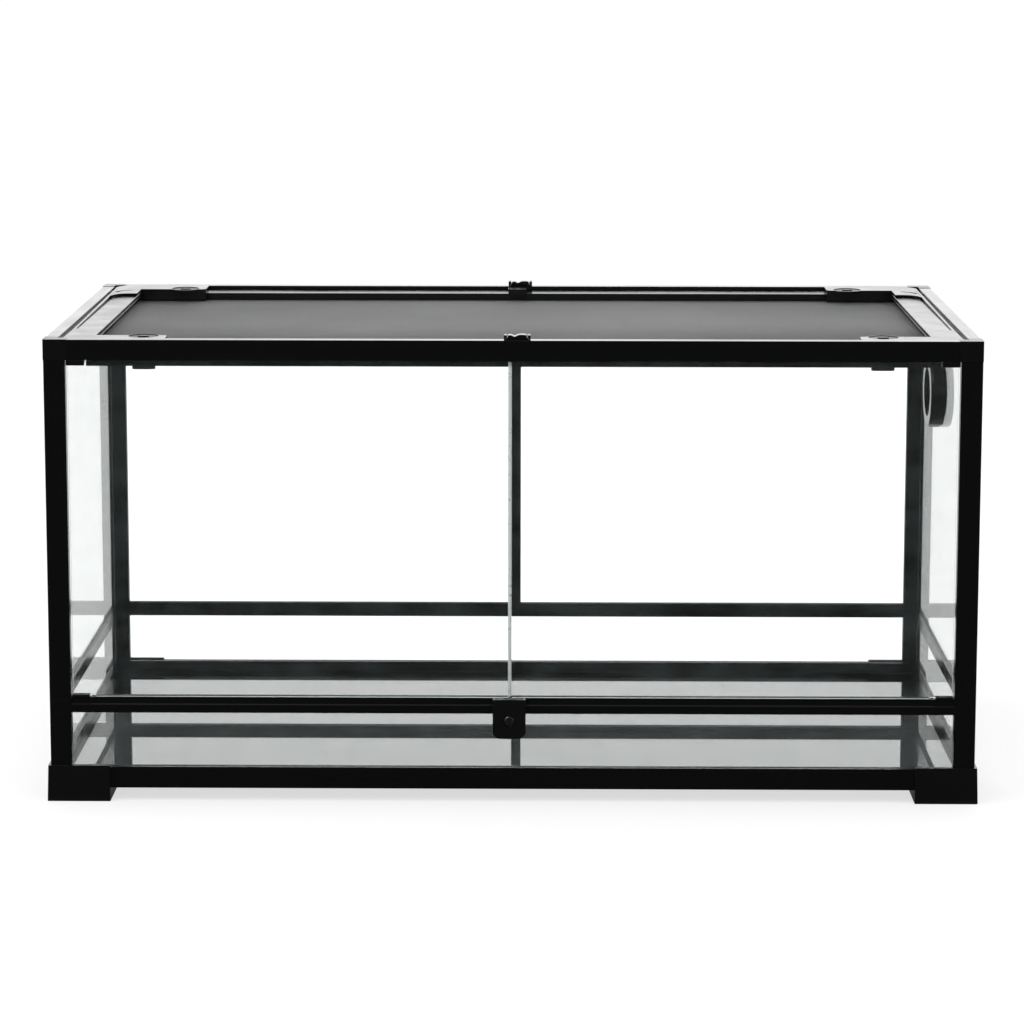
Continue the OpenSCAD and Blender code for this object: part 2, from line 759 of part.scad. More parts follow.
// Disc with a domed middle, its shaft, and the cam on the squared end of the shaft.
module knob(side, end) {
    top = end == front ? front_arm_z : rear_arm_z;
    color(black) at_corner(side, end) translate([knob_x, knob_y, 0]) {
        translate([0, 0, top + face_gap]) {
            cylinder(d = knob_d, h = knob_t - 0.6);
            translate([0, 0, knob_t - 0.6]) cylinder(d1 = knob_d, d2 = knob_d - 1.2, h = 0.6);
            difference() {
                translate([0, 0, knob_t - 8.2]) sphere(r = 10);
                translate([0, 0, -10 + knob_t / 2]) cube(20, center = true);
            }
        }
        translate([0, 0, cam_z]) cylinder(d = shaft_d, h = top + 1 - cam_z);
        translate([-2.8, -2.8, cam_z - cam_h + 1]) cube([5.6, 5.6, cam_h]);
        translate([0, 0, cam_z - cam_h]) linear_extrude(cam_h - 0.05) difference() {
            union() {
                square([cam_l - cam_w, cam_w], center = true);
                for (s = [left, right]) translate([s * (cam_l - cam_w) / 2, 0]) circle(cam_w / 2);
            }
            square(5.8, center = true);
        }
    }
}

latch_top = tank_h + latch_h;
slide_w = latch_w - 6.4;

module latch_bases() {
    color(soft_black) for (end = [front, rear]) at_end(end) translate([latch_x, 0, 0]) difference() {
        box([-latch_w / 2, 0.6, tank_h], [latch_w / 2, top_t - 0.6, latch_top]);
        box([-slide_w / 2 - face_gap, -1, tank_h + 0.6], [slide_w / 2 + face_gap, top_t + 1, latch_top + 1]);
        box([-slide_w / 2 - 1.2, -1, tank_h + 0.6], [slide_w / 2 + 1.2, top_t + 1, tank_h + 2.2]);
    }
}

module latch_slide(end) {
    color(black) at_end(end) translate([latch_x, 0, 0]) {
        box([-slide_w / 2 - 1, 0.8, tank_h + 0.65], [slide_w / 2 + 1, top_t, tank_h + 2.05]);
        box([-slide_w / 2, 0.8, tank_h + 2], [slide_w / 2, top_t, tank_h + 3]);
        box([-slide_w / 2 + 1, 1, tank_h + 3 - eps], [-slide_w / 2 + 6, top_t - 1, latch_top]);
        box([-slide_w / 2 + 8, 1, tank_h + 3 - eps], [slide_w / 2 - 1, top_t - 1, latch_top + 0.4]);
    }
}

// Block that slides along the side track over the cable hole, with a curved finger groove.
module cable_gate(side) {
    x0 = edge_x + 1.5 + face_gap;
    x1 = track_x - face_gap;
    y1 = gate_y;
    y0 = gate_y - gate_l;
    color(soft_black) mirror([side == left ? 1 : 0, 0, 0]) translate([0, -tank_d / 2, 0]) {
        difference() {
            translate([0, 0, track_z + 0.05]) linear_extrude(rear_arm_z - track_z - 0.05)
                polygon([[x0, y1], [x1, y1], [x1, y0 + 3], [x1 - 3, y0], [x0 + 2, y0 + 18], [x0, y0 + 20]]);
            translate([x1 - 4 - grip_r, y0 + gate_l * 0.6, rear_arm_z - grip_w]) difference() {
                cylinder(r = grip_r, h = grip_w + 1, $fn = 96);
                translate([0, 0, -1]) cylinder(r = grip_r - grip_w, h = grip_w + 3, $fn = 96);
            }
        }
        box([x1 - eps, y0 + 4, track_z + 0.4], [x1 + 1.2, y1, track_z + 2]);
    }
}

// ---------------------------------------------------------------- port

// Local Z runs outwards through the right side glass, from the middle of the pane.
module port_place() {
    translate([tank_w / 2 - groove_in - pane_gap - pane_t / 2, -tank_d / 2 + port_y, port_z])
        rotate([0, 90, 0]) children();
}

module port_flange() {
    color(soft_black) port_place() difference() {
        union() {
            translate([0, 0, -pane_t / 2 - port_in])
                cylinder(d1 = port_d - port_edge, d2 = port_d, h = port_edge, $fn = 96);
            translate([0, 0, -pane_t / 2 - port_in + port_edge])
                cylinder(d = port_d, h = port_in - port_edge, $fn = 96);
            translate([0, 0, -pane_t / 2 - 1])
                cylinder(d = port_hole - 1, h = pane_t + port_out + 1, $fn = 96);
        }
        translate([0, 0, -2 * port_in]) cylinder(d = port_bore, h = 4 * port_in, $fn = 96);
    }
}

module port_nut() {
    color(soft_black) port_place() translate([0, 0, pane_t / 2]) difference() {
        cylinder(d = port_d - 4, h = port_out, $fn = 96);
        translate([0, 0, -1]) cylinder(d = port_hole - 0.9, h = port_out + 2, $fn = 96);
        // grip notches round the rim
        for (a = [0:30:359]) rotate([0, 0, a]) translate([port_d / 2 - 1, 0, -1])
            cylinder(r = 3, h = port_out + 2);
    }
}

// Cup with a lip outside, open towards the inside of the tank.
module port_plug() {
    inner = -pane_t / 2 - port_in + 2;
    lip = pane_t / 2 + port_out + 0.1;
    color([0.05, 0.05, 0.05]) port_place() difference() {
        union() {
            translate([0, 0, inner]) cylinder(d = port_bore - 2 * bore_gap, h = lip - inner + 1, $fn = 96);
            translate([0, 0, lip]) cylinder(d = port_bore + 5, h = 2, $fn = 96);
        }
        translate([0, 0, inner - 1]) cylinder(d = port_bore - 8, h = lip - inner, $fn = 96);
    }
}

// ---------------------------------------------------------------- nodes

foot(left, front);  // foot_front_left
foot(right, front);  // foot_front_right
foot(left, rear);  // foot_rear_left
foot(right, rear);  // foot_rear_right
lower_post(left, front);  // lower_post_front_left
lower_post(right, front);  // lower_post_front_right
lower_post(left, rear);  // lower_post_rear_left
lower_post(right, rear);  // lower_post_rear_right
upper_post(left, front);  // upper_post_front_left
upper_post(right, front);  // upper_post_front_right
upper_post(left, rear);  // upper_post_rear_left
upper_post(right, rear);  // upper_post_rear_right
top_corner_blocks();
at_front() bottom_rail(tank_w - 2 * post_leg);  // bottom_rail_front
at_rear() bottom_rail(tank_w - 2 * post_leg);  // bottom_rail_rear
at_side(left) bottom_rail(tank_d - 2 * post_leg);  // bottom_rail_left
at_side(right) bottom_rail(tank_d - 2 * post_leg);  // bottom_rail_right
door_sill();
at_rear() mid_rail(tank_w - 2 * post_leg);  // mid_rail_rear
at_side(left) mid_rail(tank_d - 2 * post_leg);  // mid_rail_left
at_side(right) mid_rail(tank_d - 2 * post_leg);  // mid_rail_right
top_rail_front();
top_rail_rear();
top_rail_side(left);  // top_rail_left
top_rail_side(right);  // top_rail_right
rear_mullion();
floor_glass();
lower_glass_front();
lower_glass_rear();
lower_glass_side(left);  // lower_glass_left
lower_glass_side(right);  // lower_glass_right
side_glass(left);  // side_glass_left
side_glass(right);  // side_glass_right
rear_glass_panes();
door_glass(left);  // door_glass_left
door_glass(right);  // door_glass_right
door_pivots(left);  // door_pivots_left
door_pivots(right);  // door_pivots_right
door_seal();
lock_housing();
lock_latch();
lock_cylinder();
cover_bar(front);  // cover_bar_front
cover_bar(rear);  // cover_bar_rear
cover_end(left);  // cover_end_left
cover_end(right);  // cover_end_right
cover_brace();
screen_mesh();
knob(left, front);  // knob_front_left
knob(right, front);  // knob_front_right
knob(left, rear);  // knob_rear_left
knob(right, rear);  // knob_rear_right
latch_bases();
latch_slide(front);  // latch_slide_front
latch_slide(rear);  // latch_slide_rear
cable_gate(left);  // cable_gate_left
cable_gate(right);  // cable_gate_right
port_flange();
port_nut();
port_plug();
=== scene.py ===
import bmesh
import bpy
import math
from mathutils import Euler, Matrix, Vector


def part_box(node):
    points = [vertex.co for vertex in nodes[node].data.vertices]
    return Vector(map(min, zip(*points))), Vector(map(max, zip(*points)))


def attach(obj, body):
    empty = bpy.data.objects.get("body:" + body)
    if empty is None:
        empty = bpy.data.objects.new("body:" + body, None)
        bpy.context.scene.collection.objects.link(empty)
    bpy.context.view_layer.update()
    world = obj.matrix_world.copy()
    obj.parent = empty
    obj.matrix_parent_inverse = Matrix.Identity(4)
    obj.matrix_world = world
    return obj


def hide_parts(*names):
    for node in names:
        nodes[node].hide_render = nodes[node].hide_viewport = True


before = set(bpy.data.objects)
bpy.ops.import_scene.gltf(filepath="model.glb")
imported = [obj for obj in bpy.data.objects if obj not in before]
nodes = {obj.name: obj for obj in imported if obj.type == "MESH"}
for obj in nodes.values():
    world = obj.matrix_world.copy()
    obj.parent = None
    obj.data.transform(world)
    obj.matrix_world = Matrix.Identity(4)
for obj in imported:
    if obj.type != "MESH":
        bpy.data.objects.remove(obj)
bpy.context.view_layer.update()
scene = bpy.context.scene
scene.view_settings.view_transform = "Standard"
print("frame loaded,", len(nodes), "nodes")


def addNode(tree, kind, inputs=None, **settings):
    # an input is another node's socket, which is linked, or a plain value
    made = tree.nodes.new(kind)
    for key, value in settings.items():
        setattr(made, key, value)
    for key, value in (inputs or {}).items():
        if isinstance(value, bpy.types.NodeSocket):
            tree.links.new(value, made.inputs[key])
        else:
            made.inputs[key].default_value = value
    return made


def maths(tree, operation, *values):
    inputs = dict(enumerate(values))
    return addNode(tree, "ShaderNodeMath", inputs, operation=operation).outputs[0]


def mixColour(tree, share, first, second):
    inputs = {0: share, 6: first, 7: second}
    return addNode(tree, "ShaderNodeMix", inputs, data_type="RGBA").outputs[2]


def mixShader(tree, share, first, second):
    return addNode(tree, "ShaderNodeMixShader", {0: share, 1: first, 2: second}).outputs[0]


def spread(tree, value, low, high, fromLow=0.3, fromHigh=0.7):
    return addNode(tree, "ShaderNodeMapRange", {
        "Value": value, "From Min": fromLow, "From Max": fromHigh,
        "To Min": low, "To Max": high}).outputs[0]


def noise(tree, place, scale, detail=3.0, stretch=(1, 1, 1)):
    if tuple(stretch) != (1, 1, 1):
        place = addNode(tree, "ShaderNodeMapping", {"Vector": place, "Scale": stretch}).outputs[0]
    inputs = {"Vector": place, "Scale": scale, "Detail": detail}
    return addNode(tree, "ShaderNodeTexNoise", inputs).outputs[0]


def startMaterial(name):
    material = bpy.data.materials.new(name)
    material.use_nodes = True
    tree = material.node_tree
    tree.nodes.clear()
    place = addNode(tree, "ShaderNodeTexCoord").outputs
    return material, tree, place


def endMaterial(tree, shader):
    addNode(tree, "ShaderNodeOutputMaterial", {"Surface": shader})


# black plastics: gloss is the range of roughness, worn the colour of rubbed edges
extruded = {
    "colour": (0.0034, 0.0035, 0.0038, 1), "worn": (0.018, 0.019, 0.020, 1), "gloss": (0.15, 0.24),
    "cloud": 11.0, "grain": 1400.0, "grainDepth": 0.000006, "edge": 0.0005,
}
moulded = {
    "colour": (0.0040, 0.0041, 0.0044, 1), "worn": (0.020, 0.021, 0.022, 1), "gloss": (0.26, 0.36),
    "cloud": 40.0, "grain": 2600.0, "grainDepth": 0.00002, "edge": 0.0006,
}
glossy = {
    "colour": (0.0028, 0.0028, 0.0031, 1), "worn": (0.014, 0.015, 0.016, 1), "gloss": (0.12, 0.22),
    "cloud": 60.0, "grain": 1500.0, "grainDepth": 0.00001, "edge": 0.0005,
}
knobFinish = {
    "colour": (0.0032, 0.0032, 0.0034, 1), "worn": (0.012, 0.012, 0.013, 1), "gloss": (0.42, 0.54),
    "cloud": 60.0, "grain": 1800.0, "grainDepth": 0.000015, "edge": 0.0004,
}
coverFinish = {
    "colour": (0.0040, 0.0041, 0.0044, 1), "worn": (0.016, 0.017, 0.018, 1), "gloss": (0.20, 0.28),
    "cloud": 30.0, "grain": 1800.0, "grainDepth": 0.000008, "edge": 0.0004,
}
portFinish = {
    "colour": (0.0032, 0.0032, 0.0034, 1), "worn": (0.012, 0.012, 0.013, 1), "gloss": (0.06, 0.11),
    "cloud": 30.0, "grain": 900.0, "grainDepth": 0.000004, "edge": 0.0005,
}
rubbing = {"rim": (0.80, 0.995), "patch": 90.0, "bare": (0.42, 0.72)}
drawMarks = {"scale": 620.0, "stretch": 0.012, "gloss": (-0.03, 0.04), "height": 0.6}
bumpStrength, bevelSamples, plasticShine = 0.5, 4, 0.5


def blackPlastic(name, look, along=None):
    # along is the direction in which a profile was extruded
    material, tree, place = startMaterial(name)
    spot = place["Object"]
    cloud = noise(tree, spot, look["cloud"], detail=4.0)
    grain = noise(tree, spot, look["grain"], detail=2.0)
    rounded = addNode(
        tree, "ShaderNodeBevel", {"Radius": look["edge"]}, samples=bevelSamples).outputs[0]
    flat = addNode(tree, "ShaderNodeNewGeometry").outputs["True Normal"]
    turned = addNode(
        tree, "ShaderNodeVectorMath", {0: rounded, 1: flat}, operation="DOT_PRODUCT")
    rim = spread(tree, turned.outputs["Value"], 1.0, 0.0, *rubbing["rim"])
    patches = noise(tree, spot, rubbing["patch"], detail=5.0)
    wear = maths(tree, "MULTIPLY", rim, spread(tree, patches, 0.0, 1.0, *rubbing["bare"]))
    rough = spread(tree, cloud, *look["gloss"])
    height = grain
    if along:
        stretch = [drawMarks["stretch"] if axis == along else 1.0 for axis in "XYZ"]
        streaks = noise(tree, spot, drawMarks["scale"], stretch=stretch)
        rough = maths(tree, "ADD", rough, spread(tree, streaks, *drawMarks["gloss"]))
        height = maths(tree, "ADD", grain, maths(tree, "MULTIPLY", streaks, drawMarks["height"]))
    bump = addNode(tree, "ShaderNodeBump", {
        "Strength": bumpStrength, "Distance": look["grainDepth"], "Height": height,
        "Normal": rounded}).outputs[0]
    shader = addNode(tree, "ShaderNodeBsdfPrincipled", {
        "Base Color": mixColour(tree, wear, look["colour"], look["worn"]),
        "Roughness": rough, "Normal": bump, "Specular IOR Level": plasticShine})
    endMaterial(tree, shader.outputs[0])
    return material


# glass: film is how much of the surface its dust and wipe marks take
paneLook = {
    "tint": (0.985, 0.996, 0.992, 1), "edge": (0.62, 0.76, 0.72, 1), "ior": 1.5,
    "film": (0.006, 0.027), "haze": (0.40, 0.47, 0.46, 1), "coat": 0.0,
}
# the floor pane's dark tint is painted shade: it stands in for the dark, shaded ground under the
# tank that shows through the clear floor glass
floorPaneWithPaintedShade = {
    "tint": (0.05, 0.055, 0.055, 1), "edge": (0.20, 0.30, 0.27, 1), "ior": 1.5,
    "film": (0.0, 0.008), "haze": (0.30, 0.33, 0.33, 1), "coat": 1.0,
}
wiping = {"scale": 60.0, "stretch": 0.22, "clouds": 34.0, "share": (0.40, 0.62), "roughness": 0.9}
cutEdge = {"facing": 0.5, "roughness": 0.25, "transmission": 0.35}


def glassPane(name, look, across):
    # across is the direction of the pane's thickness; its cut edges look along the other two
    material, tree, place = startMaterial(name)
    spot = place["Object"]
    parts = addNode(tree, "ShaderNodeSeparateXYZ", {0: place["Normal"]}).outputs
    facing = maths(tree, "ABSOLUTE", parts["XYZ".index(across)])
    atEdge = maths(tree, "LESS_THAN", facing, cutEdge["facing"])
    stretch = [wiping["stretch"] if axis in "XY" else 1.0 for axis in "XYZ"]
    wipes = noise(tree, spot, wiping["scale"], detail=5.0, stretch=stretch)
    clouds = noise(tree, spot, wiping["clouds"], detail=8.0)
    smears = maths(tree, "MULTIPLY", maths(tree, "ADD", wipes, clouds), 0.5)
    dust = spread(tree, smears, *look["film"], *wiping["share"])
    clear = addNode(tree, "ShaderNodeBsdfPrincipled", {
        "Base Color": look["tint"], "Roughness": 0.0, "IOR": look["ior"],
        "Transmission Weight": 1.0, "Coat Weight": look["coat"], "Coat Roughness": 0.0})
    dusty = addNode(tree, "ShaderNodeBsdfPrincipled", {
        "Base Color": look["haze"], "Roughness": wiping["roughness"], "Specular IOR Level": 0.0})
    cut = addNode(tree, "ShaderNodeBsdfPrincipled", {
        "Base Color": look["edge"], "Roughness": cutEdge["roughness"], "IOR": look["ior"],
        "Transmission Weight": cutEdge["transmission"]})
    surface = mixShader(tree, dust, clear.outputs[0], dusty.outputs[0])
    body = mixShader(tree, atEdge, surface, cut.outputs[0])
    # lamps shine through the pane without bending
    through = addNode(tree, "ShaderNodeBsdfTransparent", {"Color": look["tint"]}).outputs[0]
    lamp = addNode(tree, "ShaderNodeLightPath").outputs["Is Shadow Ray"]
    endMaterial(tree, mixShader(tree, lamp, body, through))
    return material


sealLook = {
    "colour": (0.80, 0.83, 0.82, 1), "gloss": (0.25, 0.4), "cloud": 180.0,
    "transmission": 0.55, "ior": 1.45,
}
platedLook = {"colour": (0.20, 0.20, 0.21, 1), "gloss": (0.18, 0.34), "turning": 900.0}
wireLook = {
    "dark": (0.178, 0.179, 0.183, 1), "pale": (0.222, 0.223, 0.227, 1), "patch": 6.0,
    "roughness": 0.42, "weave": 333.3, "weaveDepth": 0.0002, "weaveStrength": 0.4,
}


def clearSeal():
    material, tree, place = startMaterial("clearSeal")
    cloud = noise(tree, place["Object"], sealLook["cloud"])
    shader = addNode(tree, "ShaderNodeBsdfPrincipled", {
        "Base Color": sealLook["colour"], "Roughness": spread(tree, cloud, *sealLook["gloss"]),
        "Transmission Weight": sealLook["transmission"], "IOR": sealLook["ior"]})
    endMaterial(tree, shader.outputs[0])
    return material


def platedMetal():
    material, tree, place = startMaterial("platedMetal")
    turning = noise(tree, place["Object"], platedLook["turning"], detail=2.0)
    shader = addNode(tree, "ShaderNodeBsdfPrincipled", {
        "Base Color": platedLook["colour"], "Metallic": 1.0,
        "Roughness": spread(tree, turning, *platedLook["gloss"])})
    endMaterial(tree, shader.outputs[0])
    return material


def coatedWire():
    material, tree, place = startMaterial("coatedWire")
    spot = place["Object"]
    patches = noise(tree, spot, wireLook["patch"], detail=5.0)
    weave = addNode(tree, "ShaderNodeTexChecker", {"Vector": spot, "Scale": wireLook["weave"]})
    bump = addNode(tree, "ShaderNodeBump", {
        "Strength": wireLook["weaveStrength"], "Distance": wireLook["weaveDepth"],
        "Height": weave.outputs["Fac"]})
    colour = mixColour(tree, spread(tree, patches, 0, 1), wireLook["dark"], wireLook["pale"])
    shader = addNode(tree, "ShaderNodeBsdfPrincipled", {
        "Base Color": colour, "Roughness": wireLook["roughness"], "Normal": bump.outputs[0]})
    endMaterial(tree, shader.outputs[0])
    return material


railX = blackPlastic("extrudedAlongX", extruded, "X")
railY = blackPlastic("extrudedAlongY", extruded, "Y")
postZ = blackPlastic("extrudedAlongZ", extruded, "Z")
mouldedBlack = blackPlastic("mouldedBlack", moulded)
glossyBlack = blackPlastic("glossyBlack", glossy)
portBlack = blackPlastic("smoothBlack", portFinish)
coverBlack = blackPlastic("coverBlack", coverFinish)
knobBlack = blackPlastic("knobBlack", knobFinish)
paneY = glassPane("paneFrontRear", paneLook, "Y")
paneX = glassPane("paneSides", paneLook, "X")
paneZ = glassPane("paneFloor", floorPaneWithPaintedShade, "Z")
sealClear = clearSeal()
plated = platedMetal()
wire = coatedWire()

# the first name that a node's name starts with gives its finish
finishes = (
    ("foot_", mouldedBlack), ("top_corner", mouldedBlack),
    ("lower_post", postZ), ("upper_post", postZ), ("rear_mullion", postZ),
    ("bottom_rail_left", railY), ("bottom_rail_right", railY), ("bottom_rail", railX),
    ("mid_rail_rear", railX), ("mid_rail", railY), ("door_sill", railX),
    ("top_rail_left", railY), ("top_rail_right", railY), ("top_rail", railX),
    ("floor_glass", paneZ), ("lower_glass_left", paneX), ("lower_glass_right", paneX),
    ("side_glass", paneX), ("lower_glass", paneY), ("rear_glass", paneY), ("door_glass", paneY),
    ("door_pivots", mouldedBlack), ("door_seal", sealClear),
    ("lock_cylinder", plated), ("lock_latch", glossyBlack), ("lock_housing", mouldedBlack),
    ("cover_bar", railX), ("cover_end", mouldedBlack), ("cover_brace", railY),
    ("screen_mesh", wire), ("knob", knobBlack), ("latch_slide", glossyBlack),
    ("latch_bases", mouldedBlack), ("cable_gate", mouldedBlack), ("port", portBlack),
)
for name, thing in nodes.items():
    finish = next(finish for start, finish in finishes if name.startswith(start))
    thing.data.materials.clear()
    thing.data.materials.append(finish)
print("materials on", len(nodes), "nodes")


# woven screen of the cover; opening is half the width that the wires leave round a knob's shaft
screen = {"pitch": 0.0009, "wire": 0.00027, "sides": 6, "margin": 0.0015, "opening": 0.0055}


def wireTree():
    tree = bpy.data.node_groups.new("screenWires", "GeometryNodeTree")
    for label, kind in (("Geometry", "NodeSocketGeometry"), ("Wire radius", "NodeSocketFloat"),
                        ("Sides", "NodeSocketInt"), ("Material", "NodeSocketMaterial")):
        tree.interface.new_socket(name=label, in_out="INPUT", socket_type=kind)
    tree.interface.new_socket(name="Geometry", in_out="OUTPUT", socket_type="NodeSocketGeometry")
    given = addNode(tree, "NodeGroupInput").outputs
    length, turn = (
        addNode(tree, "GeometryNodeInputNamedAttribute", {"Name": label}, data_type="FLOAT")
        for label in ("wireLength", "wireTurn"))
    rod = addNode(tree, "GeometryNodeMeshCylinder", {
        "Vertices": given["Sides"], "Radius": given["Wire radius"], "Depth": 1.0})
    lie = addNode(tree, "ShaderNodeCombineXYZ", {0: 0.0, 1: math.pi / 2, 2: turn.outputs[0]})
    size = addNode(tree, "ShaderNodeCombineXYZ", {0: 1.0, 1: 1.0, 2: length.outputs[0]})
    placed = addNode(tree, "GeometryNodeInstanceOnPoints", {
        "Points": given["Geometry"], "Instance": rod.outputs["Mesh"],
        "Rotation": lie.outputs[0], "Scale": size.outputs[0]})
    real = addNode(tree, "GeometryNodeRealizeInstances", {"Geometry": placed.outputs[0]})
    smooth = addNode(tree, "GeometryNodeSetShadeSmooth", {"Geometry": real.outputs[0]})
    dressed = addNode(tree, "GeometryNodeSetMaterial", {
        "Geometry": smooth.outputs[0], "Material": given["Material"]})
    addNode(tree, "NodeGroupOutput", {"Geometry": dressed.outputs[0]})
    return tree


def setInputs(modifier, values):
    for item in modifier.node_group.interface.items_tree:
        if item.in_out == "INPUT" and item.name in values:
            modifier[item.identifier] = values[item.name]


def bakedMesh(thing, name):
    # plain mesh of what the object's modifiers make
    bpy.context.view_layer.update()
    ready = thing.evaluated_get(bpy.context.evaluated_depsgraph_get())
    mesh = bpy.data.meshes.new_from_object(ready)
    made = bpy.data.objects.new(name, mesh)
    scene.collection.objects.link(made)
    bpy.data.objects.remove(thing)
    return made


def wovenScreen():
    low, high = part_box("screen_mesh")
    knobLow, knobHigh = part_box("knob_front_right")
    knobX, knobY = (knobLow.x + knobHigh.x) / 2, (knobLow.y + knobHigh.y) / 2
    pitch, opening = screen["pitch"], screen["opening"]
    halfX, halfY = high.x - screen["margin"], high.y - screen["margin"]
    middle = (low.z + high.z) / 2
    lift = screen["wire"] * 0.5
    starts, lengths, turns = [], [], []

    def lay(alongX, at, begin, end):
        centre = (begin + end) / 2
        starts.append((centre, at, middle - lift) if alongX else (at, centre, middle + lift))
        lengths.append(end - begin)
        turns.append(0.0 if alongX else math.pi / 2)

    # knobY is that of a front knob, so it is below zero
    for i in range(int(2 * halfY / pitch) + 1):
        y = -halfY + i * pitch
        atKnob = abs(abs(y) + knobY) < opening
        reach = knobX - opening if atKnob else halfX
        lay(True, y, -reach, reach)
    for i in range(int(2 * halfX / pitch) + 1):
        x = -halfX + i * pitch
        atKnob = abs(abs(x) - knobX) < opening
        begin, end = (knobY + opening, -knobY - opening) if atKnob else (-halfY, halfY)
        lay(False, x, begin, end)
    mesh = bpy.data.meshes.new("wireSeeds")
    mesh.from_pydata(starts, [], [])
    for label, values in (("wireLength", lengths), ("wireTurn", turns)):
        mesh.attributes.new(label, "FLOAT", "POINT").data.foreach_set("value", values)
    seeds = bpy.data.objects.new("wireSeeds", mesh)
    scene.collection.objects.link(seeds)
    modifier = seeds.modifiers.new("wires", "NODES")
    modifier.node_group = wireTree()
    setInputs(modifier, {
        "Wire radius": screen["wire"] / 2, "Sides": screen["sides"], "Material": wire})
    made = bakedMesh(seeds, "wovenScreen")
    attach(made, "cover")
    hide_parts("screen_mesh")
    print("screen of", len(starts), "wires,", len(made.data.polygons), "faces")


wovenScreen()


def finished(thing, name, material):
    mesh = thing.data
    mesh.materials.clear()
    mesh.materials.append(material)
    mesh.polygons.foreach_set("material_index", [0] * len(mesh.polygons))
    thing.name = mesh.name = name
    return thing


def solid(points, faces):
    mesh = bpy.data.meshes.new("solid")
    mesh.from_pydata(points, [], faces)
    work = bmesh.new()
    work.from_mesh(mesh)
    bmesh.ops.recalc_face_normals(work, faces=work.faces)
    work.to_mesh(mesh)
    work.free()
    made = bpy.data.objects.new("solid", mesh)
    scene.collection.objects.link(made)
    return made


def loft(rings):
    # closed solid through rings of equally many points
    count = len(rings[0])
    points = [point for ring in rings for point in ring]
    faces = [tuple(range(count)), tuple(range(len(points) - count, len(points)))]
    for k in range(len(rings) - 1):
        for i in range(count):
            a, b = k * count + i, k * count + (i + 1) % count
            faces.append((a, b, b + count, a + count))
    return solid(points, faces)


def prism(outline, low, high):
    return loft([[(x, y, z) for x, y in outline] for z in (low, high)])


def block(one, other):
    low, high = (tuple(pick(pair) for pair in zip(one, other)) for pick in (min, max))
    outline = [(low[0], low[1]), (high[0], low[1]), (high[0], high[1]), (low[0], high[1])]
    return prism(outline, low[2], high[2])


def arc(centre, radius, begin, end, steps=24):
    turns = [math.radians(begin + (end - begin) * i / steps) for i in range(steps + 1)]
    return [(centre[0] + radius * math.cos(t), centre[1] + radius * math.sin(t)) for t in turns]


def disc(centre, radius, low, high, sides=48):
    return prism(arc(centre, radius, 0, 360 - 360 / sides, sides - 1), low, high)


def roundBar(centre, halfLength, halfWidth, low, high):
    # bar with round ends, along X
    x, y = centre
    reach = halfLength - halfWidth
    outline = arc((x - reach, y), halfWidth, 90, 270, 12)
    return prism(outline + arc((x + reach, y), halfWidth, -90, 90, 12), low, high)


def combine(base, tools, operation):
    for tool in tools:
        modifier = base.modifiers.new("combine", "BOOLEAN")
        modifier.operation, modifier.solver, modifier.object = operation, "EXACT", tool
        base = bakedMesh(base, "solid")
        bpy.data.objects.remove(tool)
    return base


def mirrored(thing, across):
    # across is 0 for left and right, 1 for front and rear
    size = [1, 1, 1]
    size[across] = -1
    thing.data.transform(Matrix.Diagonal((*size, 1)))
    thing.data.flip_normals()
    return thing


# heights and distances of the screen cover, from the ground and from the middle of the tank
cover = {
    "barTop": 0.4579, "barEdge": 0.4562, "barBottom": 0.4465, "barIn": 0.1925, "barOut": 0.2156,
    "barX": 0.4414, "barSoft": 0.0005, "screenLow": 0.44775, "screenTop": 0.44885,
    "screenSeat": 0.0082, "side": 0.4446, "sideIn": 0.4416,
}
keeper = {
    "left": -0.0085, "right": 0.0115, "outer": -0.2136, "inner": -0.190, "top": 0.4612,
    "hookLow": 0.4545, "root": 0.001,
}
# the gates slide on the member's top, which falls slightly to the rear, while its outer strip rises
member = {
    "stations": (-0.187, -0.134, -0.122, 0.0, 0.090, 0.134, 0.186),
    "inner": 0.4116, "outer": 0.4364, "undercut": 0.4147, "bed": 0.4589, "rimTop": 0.457,
    "top": 0.4600, "fall": 0.0011, "fallFrom": 0.1825, "fallLength": 0.2725,
    "lip": 0.4113, "lipLow": 0.4551, "lipTop": 0.4556, "lipSoft": 0.0003, "soft": (0.0004, 0.00035),
    "strip": 0.4382, "stripOut": 0.4415, "rise": 0.0028, "riseFrom": 0.134, "riseLength": 0.268,
    "stripSoft": (0.0006, 0.0005), "draft": 0.0002,
    "groove": 0.0014, "grooveEnd": 0.00002, "grooveFrom": -0.130,
}
arms = {
    "front": {"top": 0.4600, "inner": 0.1825, "chamfer": 0.0040, "round": 0.003, "way": -1},
    "rear": {"top": 0.4618, "inner": 0.1805, "chamfer": 0.0005, "round": 0.020, "way": 1},
}
armShape = {"tip": 0.341, "corner": 0.003, "setBack": 0.0002}
knob = {
    "x": 0.364, "y": 0.1875, "radius": 0.0144, "pocket": 0.0148, "seat": 0.016,
    "seatDepth": 0.0022, "depth": 0.0014, "sunk": 0.0008, "grip": (0.0056, 0.0036),
    "gripHeight": 0.0011, "gripRoot": 0.0002, "shaft": 0.004, "shaftRoot": 0.0003,
    "bore": 0.00405, "boreLow": 0.44, "camTop": 0.43965, "camLow": 0.4275, "camLength": 0.023,
    "camWidth": 0.009, "square": 0.0028, "hole": 0.0029, "stemEnd": 0.001,
}
gate = {
    "low": 0.45897, "high": 0.4618, "inner": 0.4120, "outer": 0.4380, "rear": 0.1803,
    "front": 0.1415, "round": 0.018, "roundX": 0.419, "tongue": (0.4368, 0.128, 0.4577),
    "gripCentre": (0.417, 0.152), "grip": (0.0168, 0.0208), "gripTurn": (4, 78),
    "gripDepth": 0.0020,
}
cableHole = {"low": (0.4256, 0.1553, 0.440), "high": (0.4382, 0.1753, 0.470)}
